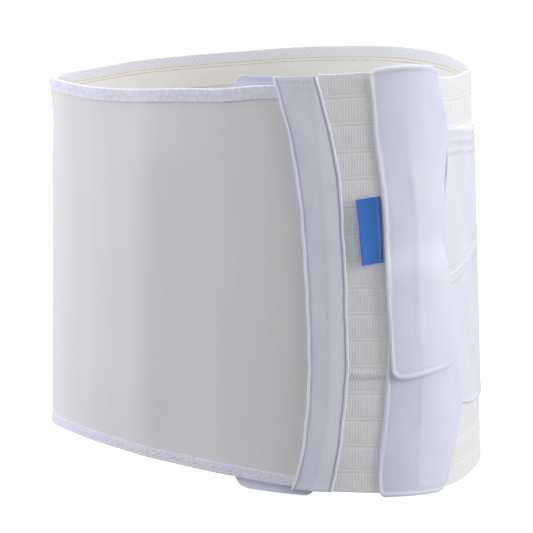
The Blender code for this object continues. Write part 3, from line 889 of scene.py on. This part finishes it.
# Flaps
flap = {
    **brushed, "hex": "EDEEFF", "shadeHex": "E5E6FA", "hemHighlightHex": "F5F5FF", "wall": 1.8, "cell": 1.25,
    "hem": 3.6, "hemRaise": 0.75, "seamAt": 1.12, "ridge": 0.35, "ridgeAt": 21, "ridgeHalf": 2.4,
    "dent": 0.2, "stitch": 2.9, "step": 2.0, "tack": (5, 14), "tackBelow": 4.5, "tackStep": 1.2,
    "tackHalf": 1.5,
}
# painted shade: the lower flap is the same cloth as the upper one, given darker tones because it sits in
# shade
lowerFlap = {
    **flap, "hex": "E6E7FA", "shadeHex": "DEDFF3", "hemHighlightHex": "F1F1FF",
    "ridgeAt": 24, "ridgeHalf": 1.3, "ridgeLean": 4.5, "leanBelow": 72, "covered": 60,
}


def makeUpperFlap():
    cloth = layCloth("upper_flap", flap["wall"] * mm, flap["cell"] * mm)
    left = cloth["left"] / mm
    edge = np.minimum(np.minimum(cloth["left"], cloth["bottom"]), cloth["top"])
    hem = flap["hem"] * mm
    share = cloth["left"] / (cloth["left"] + cloth["right"])
    height = cloth["bottom"] / cloth["bottom"][-1:]
    # the strap behind pushes out a soft ridge, and the flap sinks a little beside it
    middle = np.clip(height * 7, 0, 1) * np.clip((0.80 - height) * 6, 0, 1)
    ridge = swell(left, flap["ridgeAt"], flap["ridgeHalf"]) * middle
    dent = swell(share, 0.30, 0.1273) * swell(height, 0.62, 0.16)
    upright = cloth["left"] <= edge
    strength = np.where(upright, 1.0, np.clip((1 - share) * 2.4, 0.1, 1))
    relief = hemRoll(edge, hem, flap["hemRaise"] * mm) * strength
    relief += (flap["ridge"] * ridge - flap["dent"] * dent) * mm * (edge > hem)
    raiseCloth(cloth, relief)
    # painted light: the flap is painted paler right of the ridge, where it faces the light, and paler on its
    # hems as painted highlight; the groove mark is painted shade along the seam
    lit = np.clip((left - flap["ridgeAt"] + 1) / 5, 0, 1) * 0.4 * middle
    cloth["hem"] = np.maximum(np.clip(1.25 - edge / hem, 0, 1) * strength, lit)
    cloth["groove"] = swell(edge, hem * flap["seamAt"], 0.16 * hem) * 0.35 * strength
    piece = sewPiece("upper_flap_cloth", cloth, [flapCloth], "upper_flap", 0.7)
    width, tall, inset = cloth["across"][-1], cloth["up"][-1], hem * flap["seamAt"]
    step, pitch = flap["step"] * mm, flap["stitch"] * mm
    tack, tackLevel = [place * mm for place in flap["tack"]], tall - flap["tackBelow"] * mm
    lines = [
        stitchLine(cloth, [inset, inset], [inset + step, tall - inset - step], pitch),
        stitchLine(cloth, [inset + step, width - 3 * step], [tall - inset] * 2, pitch),
        stitchLine(cloth, [inset + step, width - 3 * step], [inset] * 2, pitch),
        stitchLine(cloth, tack, [tackLevel] * 2, flap["tackStep"] * mm, 1.0, flap["tackHalf"] * mm),
    ]
    threads = sewThreads("upper_flap_stitches", lines, threadCloth, 0.17)
    return cloth


def makeLowerFlap():
    cloth = layCloth("lower_flap", lowerFlap["wall"] * mm, lowerFlap["cell"] * mm)
    edge = np.minimum(cloth["left"], cloth["bottom"])
    hem = lowerFlap["hem"] * mm
    lean = np.clip(1 - cloth["bottom"] / (lowerFlap["leanBelow"] * mm), 0, 1)
    fromRidge = cloth["left"] / mm - lowerFlap["ridgeAt"] - lowerFlap["ridgeLean"] * lean
    ridge = swell(fromRidge, 0, lowerFlap["ridgeHalf"]) * np.clip((cloth["bottom"] - hem) / (4 * mm), 0, 1)
    showing = (edge > hem) * (cloth["top"] > lowerFlap["covered"] * mm)
    relief = hemRoll(edge, hem, lowerFlap["hemRaise"] * mm) + lowerFlap["ridge"] * mm * ridge * showing
    raiseCloth(cloth, relief)
    # painted light: paler right of the ridge and on the hems, as painted highlight; the groove marks are
    # painted shade along the seam and beside the ridge
    lit = np.clip((fromRidge + 1) / 1.6, 0, 1) * 0.35
    cloth["hem"] = np.maximum(np.clip(1.25 - edge / hem, 0, 1), lit)
    cloth["groove"] = swell(edge, hem * lowerFlap["seamAt"], 0.16 * hem) * 0.4
    cloth["groove"] += swell(fromRidge, 1.9, 0.7) * 0.12 * (edge > hem)
    piece = sewPiece("lower_flap_cloth", cloth, [shadedLowerFlapCloth], "lower_flap", 0.7)
    width, tall, inset = cloth["across"][-1], cloth["up"][-1], hem * lowerFlap["seamAt"]
    step, pitch, covered = (lowerFlap[key] * mm for key in ("step", "stitch", "covered"))
    lines = [
        stitchLine(cloth, [inset, inset], [inset + step, tall - covered], pitch),
        stitchLine(cloth, [inset + step, width - 2 * step], [inset] * 2, pitch),
    ]
    threads = sewThreads("lower_flap_stitches", lines, threadCloth, 0.17)


# Straps
strap = {
    **brushed, "hex": "EEEFFC", "shadeHex": "E8E9F8", "wall": 1.4, "cell": 1.4,
    "hem": 3.2, "hemRaise": 0.35, "sit": 0.45,
    "rows": (7.2, 14.0), "rowRaise": 0.45, "rowHalf": 1.4, "rowFurrow": 2.2,
    "seamRows": (1.6, 5.2), "seamRaise": 0.4, "seamHalf": 1.1, "seamFurrow": 1.8, "furrow": 0.15,
    "reach": 0.5, "seamReach": 0.5, "reachFrom": 4, "seamClosed": 10, "topClosed": 17,
    "slit": 5.0, "slitAt": 26, "slitHalf": 12, "stitch": 3.0, "endStitches": (3.0, 8.0),
}


def makeStrap(name, nodeName, hemSide, seamSide, rows):
    cloth = layCloth(nodeName, strap["wall"] * mm, strap["cell"] * mm)
    drop, seam = cloth[hemSide] / mm, cloth[seamSide] / mm
    along = cloth["points"][:, :1] - cloth["points"][:, 1:2]
    along /= np.linalg.norm(along, axis=2, keepdims=True)
    # the straps lie against each other, and against the flaps except along the slits
    closed = np.clip((strap["seamClosed"] - seam) / 2, 0, 1)
    if hemSide == "top":
        closed = np.maximum(closed, np.clip((strap["topClosed"] - drop) / 2, 0, 1))
        closed -= strap["slit"] * swell(drop, strap["slitAt"], strap["slitHalf"])
    near = np.clip(1 - cloth["left"] / (strap["reachFrom"] * mm), 0, 1) * closed
    low = np.clip(1 - seam / strap["reachFrom"], 0, 1)
    down = np.array([0, 0, -1.0 if seamSide == "bottom" else 1.0])
    cloth["points"] = cloth["points"] + along * (strap["reach"] * mm * near)[:, :, None]
    cloth["points"] += down * (strap["seamReach"] * mm * low)[:, :, None]
    relief = hemRoll(cloth[hemSide], strap["hem"] * mm, strap["hemRaise"] * mm) - strap["sit"] * mm
    furrows = np.zeros_like(relief)
    for row in rows:
        relief += strap["rowRaise"] * mm * swell(drop, row, strap["rowHalf"])
        for side in (-1, 1):
            furrows += swell(drop, row + side * strap["rowFurrow"], 0.7)
    for row in strap["seamRows"]:
        relief += strap["seamRaise"] * mm * swell(seam, row, strap["seamHalf"])
        furrows += swell(seam, row + strap["seamFurrow"], 0.6)
    relief -= strap["furrow"] * mm * furrows
    # painted shade: the groove mark darkens the furrows beside the stitched rows; the hem mark paints a
    # highlight along the hem and the seam side
    cloth["groove"] = np.clip(furrows, 0, 1) * 0.2
    raiseCloth(cloth, relief)
    cloth["hem"] = np.clip(1.25 - np.minimum(drop / strap["hem"], seam / 6), 0, 1) * 0.6
    piece = sewPiece(name, cloth, [strapCloth], nodeName, 0.5)
    width, tall, pitch = cloth["across"][-1], cloth["up"][-1], strap["stitch"] * mm
    levels = {"top": lambda inset: tall - inset * mm, "bottom": lambda inset: inset * mm}
    lines = [
        stitchLine(cloth, [2 * mm, width - 2 * mm], [levels[side](inset)] * 2, pitch)
        for side, insets in (
            (hemSide, (3.4, *(row + strap["rowFurrow"] for row in rows))), (seamSide, (3.4, 7.0))
        )
        for inset in insets
    ]
    for inset in strap["endStitches"]:
        lines.append(stitchLine(cloth, [width - inset * mm] * 2, [4 * mm, tall - 4 * mm], pitch))
    if seamSide == "bottom":
        lines.append(stitchLine(cloth, [3 * mm, width - 3 * mm], [0.0, 0.0], 1.3 * mm, 1.0, 1.3 * mm))
    threads = sewThreads(name.replace("cloth", "stitches"), lines, threadCloth, 0.17)


# Bar of slanted stitches on the webbing, between the strip and the upper flap
bar = {"length": 27, "pitch": 0.95, "half": 2.8, "below": 3.3, "past": 1.0, "thick": 0.34, "lift": 0.45}


def makeBartack(webbingCloth, flapCorner):
    row = np.argmin(np.abs(webbingCloth["points"][:, 0, 2] - flapCorner[2]))
    gaps = np.linalg.norm(webbingCloth["points"][row, :, :2] - flapCorner[:2], axis=1)
    end = webbingCloth["across"][np.argmin(gaps)] + bar["past"] * mm
    level = webbingCloth["up"][row] - bar["below"] * mm
    line = stitchLine(
        webbingCloth, [end - bar["length"] * mm, end], [level, level],
        bar["pitch"] * mm, 1.0, bar["half"] * mm,
    )
    return sewThreads("bartack", [line], threadCloth, bar["thick"], -bar["lift"])


# Tag
tag = {
    "hex": "3975C8", "valleyShadeHex": "326CC2", "foldHighlightHex": "7FA6E0", "twill": 0.8, "wall": 0.5, "cell": 0.8,
    "lean": 1.8, "foldAt": 13.0, "foldHalf": 1.2, "curl": 1.6, "cornerCurl": 1.2, "fold": 0.3,
}


def tagMaterial():
    # satin ribbon, woven close: a soft gloss, a painted highlight along its fold, and painted shade in the
    # valleys of its twill. Its twill is drawn about three times as coarse as a real one
    material = newMaterial("woven satin tag, bare", tag["hex"], 0.45)
    place = clothMap(material)
    twill = addNode(
        material, "TexWave", {"bands_direction": "DIAGONAL"},
        {"Vector": place, "Scale": waves(tag["twill"]), "Distortion": 0.2, "Detail": 1.0}, 1,
    )
    along = addNode(material, "SeparateXYZ", {}, {0: place}, "X")
    fold = lineAt(material, along, tag["foldAt"], tag["foldHalf"], 0.3)
    tones = ((twill, tag["hex"]), (fold, tag["foldHighlightHex"]))
    surface = layTones(material, colour(tag["valleyShadeHex"]), tones)
    return finishCloth(material, surface, twill, 0.05, 0.5)


def makeTag():
    cloth = layCloth("label", tag["wall"] * mm, tag["cell"] * mm)
    share = cloth["left"] / (cloth["left"] + cloth["right"])
    low = 1 - cloth["bottom"] / cloth["bottom"][-1:]
    curl = (1 - share) ** 1.6 * (tag["curl"] + tag["cornerCurl"] * low)
    fold = swell(share, 0.86, 0.05) * tag["fold"]
    acrossCloth(cloth, (1 - share) * low * tag["lean"] * mm)
    cloth["points"][:, :, 2] += share * low * tag["lean"] * mm
    raiseCloth(cloth, (curl + fold) * mm)
    piece = sewPiece("woven_tag", cloth, [tagMaterial()], "label", 0.12)


# The brushed cloths are knitted of fine nylon or polyester and brushed, so they look matt and
# downy, with no yarn to see. Their nap is drawn a few times coarser than a real one
bindingCloth = brushedMaterial("polyamide binding tape, folded", tape)  # crinkled, with small tufts
velourCloth = brushedMaterial("loop velour, brushed", velour)  # raised loops, dull and even
tabCloth = brushedMaterial("brushed tricot", tab)
flapCloth = brushedMaterial("brushed laminated knit", flap)  # thick and smooth over its foam
# a darker copy of the flap cloth, painted shade for the lower flap
shadedLowerFlapCloth = brushedMaterial("brushed laminated knit, painted shade", lowerFlap)
strapCloth = brushedMaterial("brushed elastic tricot", strap)
# spun and twisted, with a slight gloss. At 0.3 mm it is too thin for its twist to show
threadCloth = newMaterial("polyester sewing thread", "F4F4FC", 0.6, 0.1)

webbingGrid, webbingPiece = makeWebbing()
print("elastic band done")
stripGrid = layStrip()
panelGrid, panelPiece = makePanel()
topBinding, topZigzag = makeBinding("top_binding_tape", panelGrid, stripGrid, 1, "panel_top_binding")
bottomBinding, bottomZigzag = makeBinding(
    "bottom_binding_tape", panelGrid, stripGrid, -1, "panel_bottom_binding"
)
bindingThreads = sewThreads(
    "binding_stitches", [topZigzag, bottomZigzag], threadCloth, 0.15
)
panelEnds = [knitPanel["stitchEnds"] * mm, panelGrid["up"][-1] - knitPanel["stitchEnds"] * mm]
panelRows = [
    stitchLine(panelGrid, [inset * mm] * 2, panelEnds, knitPanel["stitch"] * mm)
    for inset in knitPanel["stitchRows"]
]
panelThreads = sewThreads("panel_stitches", panelRows, threadCloth, 0.17)
print("panel and bindings done")
makeStrip(stripGrid)
makeTab()
print("closing strip and tab done")
upperFlapGrid = makeUpperFlap()
makeLowerFlap()
print("flaps done")
makeStrap("upper_strap_cloth", "upper_strap", "top", "bottom", strap["rows"])
makeStrap("lower_strap_cloth", "lower_strap", "bottom", "top", ())
makeTag()
bartack = makeBartack(webbingGrid, upperFlapGrid["points"][0, 0])
print("straps, tag and bartack done")


# Studio
studio = {
    "azimuth": 35.0, "pitch": 9.91, "distance": 1.15, "height": 0.323, "lens": 114.8,
    "aimX": 0.0012, "aimY": -0.0103, "aimHeight": 0.13, "worldBelow": 0.29, "worldAbove": 0.60,
    "floorHex": "F4F4F4", "floorGlow": 0.62, "floorSize": 60, "floorBelow": 0.0004,
    "side": (  # name, place in the camera's frame (right, away, up), size, power, colour
        ("left_softbox", (-1.3, 0.24, 0.45), 0.85, 11.9, "FAFAFF"),
        ("right_softbox", (1.2, -0.48, 0.58), 0.9, 9.2, "FFFFFF"),
        ("top_softbox", (0.0, 0.10, 1.5), 0.9, 10.0, "FFFFFF"),
    ),
}


def cameraSide(right, away, up):
    turn = math.radians(studio["azimuth"])
    x = right * math.cos(turn) - away * math.sin(turn) + studio["aimX"]
    y = right * math.sin(turn) + away * math.cos(turn) + studio["aimY"]
    return Vector((x, y, up))


def addCamera():
    data = bpy.data.cameras.new("photo_camera")
    data.lens = studio["lens"]
    data.sensor_width = 36
    camera = bpy.data.objects.new("photo_camera", data)
    bpy.context.scene.collection.objects.link(camera)
    camera.location = cameraSide(0, -studio["distance"], studio["height"])
    camera.rotation_euler = (math.radians(90 - studio["pitch"]), 0, math.radians(studio["azimuth"]))
    bpy.context.scene.camera = camera


def addLights():
    world = bpy.data.worlds.new("white_room")
    bpy.context.scene.world = world
    world.use_nodes = True
    # the room is white to the camera, and to the belt it grows dimmer from above to below
    sky = addNode(world, "TexCoord", {}, {}, "Generated")
    height = addNode(world, "SeparateXYZ", {}, {0: sky}, "Z")
    glow = addNode(
        world, "MapRange", {},
        {"Value": height, "From Min": -1.0, "To Min": studio["worldBelow"], "To Max": studio["worldAbove"]},
    )
    seen = addNode(world, "LightPath", {}, {}, "Is Camera Ray")
    strength = addNode(world, "MapRange", {}, {"Value": seen, "To Min": glow, "To Max": 1.0})
    background = world.node_tree.nodes["Background"]
    background.inputs["Color"].default_value = (1, 1, 1, 1)
    world.node_tree.links.new(strength, background.inputs["Strength"])
    aim = Vector((0, 0, studio["aimHeight"]))
    for name, place, size, power, hexCode in studio["side"]:
        data = bpy.data.lights.new(name, "AREA")
        data.shape = "SQUARE"
        data.size = size
        data.energy = power
        data.color = colour(hexCode)[:3]
        light = bpy.data.objects.new(name, data)
        bpy.context.scene.collection.objects.link(light)
        light.location = cameraSide(*place)
        light.rotation_euler = (aim - light.location).to_track_quat("-Z", "Y").to_euler()
        light.visible_camera = False


def addFloor():
    deselectAll()
    bpy.ops.mesh.primitive_plane_add(size=studio["floorSize"], location=(0, 0, -studio["floorBelow"]))
    floor = bpy.context.active_object
    floor.name = "studio_floor"
    material = newMaterial("matt white table", studio["floorHex"], 0.9)
    shader = material.node_tree.nodes["Principled BSDF"]
    shader.inputs["Emission Color"].default_value = (1, 1, 1, 1)
    shader.inputs["Emission Strength"].default_value = studio["floorGlow"]
    floor.data.materials.append(material)
    floor.visible_diffuse = False


addCamera()
addLights()
addFloor()
bpy.context.scene.view_settings.view_transform = "Standard"
print("studio done")
